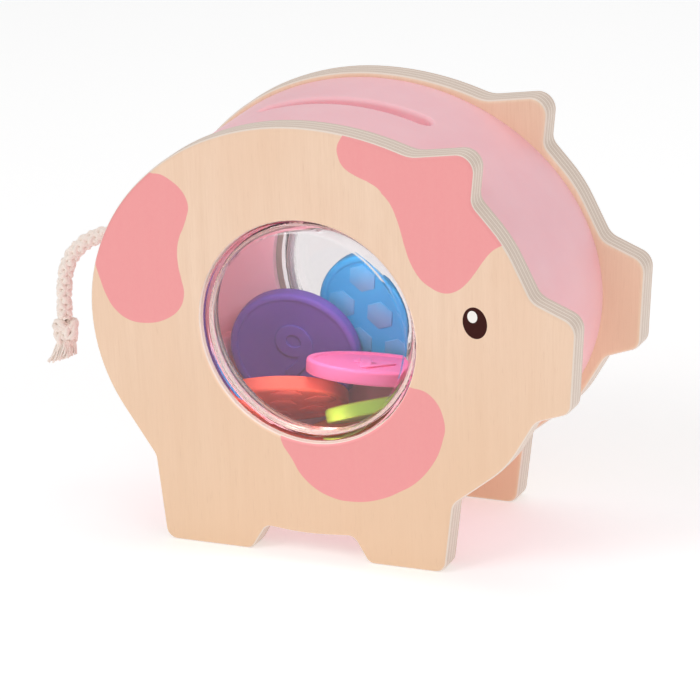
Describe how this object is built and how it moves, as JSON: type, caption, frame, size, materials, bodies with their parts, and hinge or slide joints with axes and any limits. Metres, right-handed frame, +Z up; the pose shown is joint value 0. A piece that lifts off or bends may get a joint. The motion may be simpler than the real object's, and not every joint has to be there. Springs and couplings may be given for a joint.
{
  "type": "money box",
  "caption": "Pig-shaped money box: two plywood side panels on a hollow pink drum with a coin slot, clear round windows, toy coins inside and a rope tail.",
  "frame": {"origin": "on the floor, under the middle of the box's length and width, the tail left out", "axes": "+X towards the snout, +Y towards the panel with the door (the pig's left side), +Z up"},
  "size_m": [0.2525, 0.092, 0.1818],
  "materials": {
    "plywood": "smooth sanded, clear matt lacquer, painted spots",
    "pink_plastic": "satin moulded",
    "clear_plastic": "clear polished",
    "screw_steel": "zinc plated",
    "cotton_rope": "soft braided cotton",
    "seal_rubber": "soft translucent",
    "coin_orange": "satin moulded",
    "coin_coral": "satin moulded",
    "coin_lime": "satin moulded",
    "coin_pink": "satin moulded",
    "coin_purple": "satin moulded",
    "coin_sky_blue": "satin moulded"
  },
  "bodies": {
    "money_box": {"side_panel_right": "plywood", "side_panel_left": "plywood", "drum_band": "pink_plastic", "drum_end_left": "pink_plastic", "drum_end_right": "pink_plastic", "window_right": "clear_plastic", "door_socket": "clear_plastic", "panel_screws_right": "screw_steel", "panel_screws_left": "screw_steel", "tail_rope": "cotton_rope", "tail_knot": "cotton_rope", "tail_tuft": "cotton_rope", "tail_inner_knot": "cotton_rope"},
    "door": {"coin_door": "clear_plastic", "door_seal": "seal_rubber"},
    "coin_orange_body": {"coin_orange": "coin_orange"},
    "coin_coral_body": {"coin_coral": "coin_coral"},
    "coin_lime_body": {"coin_lime": "coin_lime"},
    "coin_pink_body": {"coin_pink": "coin_pink"},
    "coin_purple_body": {"coin_purple": "coin_purple"},
    "coin_sky_blue_body": {"coin_sky_blue": "coin_sky_blue"}
  },
  "joints": [
    {"name": "coin_door_pull", "type": "slide", "parent": "money_box", "child": "door", "axis": [0, 1, 0], "range_m": [0, 0.03]},
    {"name": "coin_orange_shift", "type": "slide", "parent": "money_box", "child": "coin_orange_body", "axis": [0.98, 0, 0.199], "range_m": [0, 0.005]},
    {"name": "coin_coral_shift", "type": "slide", "parent": "money_box", "child": "coin_coral_body", "axis": [0.9279, 0, 0.3729], "range_m": [0, 0.002]},
    {"name": "coin_lime_shift", "type": "slide", "parent": "money_box", "child": "coin_lime_body", "axis": [0.98, 0, 0.199], "range_m": [0, 0.006]},
    {"name": "coin_pink_shift", "type": "slide", "parent": "money_box", "child": "coin_pink_body", "axis": [-0.3999, -0.3999, 0.8247], "range_m": [0, 0.007]},
    {"name": "coin_purple_shift", "type": "slide", "parent": "money_box", "child": "coin_purple_body", "axis": [0, -0.1959, 0.9806], "range_m": [0, 0.008]},
    {"name": "coin_sky_blue_shift", "type": "slide", "parent": "money_box", "child": "coin_sky_blue_body", "axis": [0, -0.1959, 0.9806], "range_m": [0, 0.012]}
  ]
}
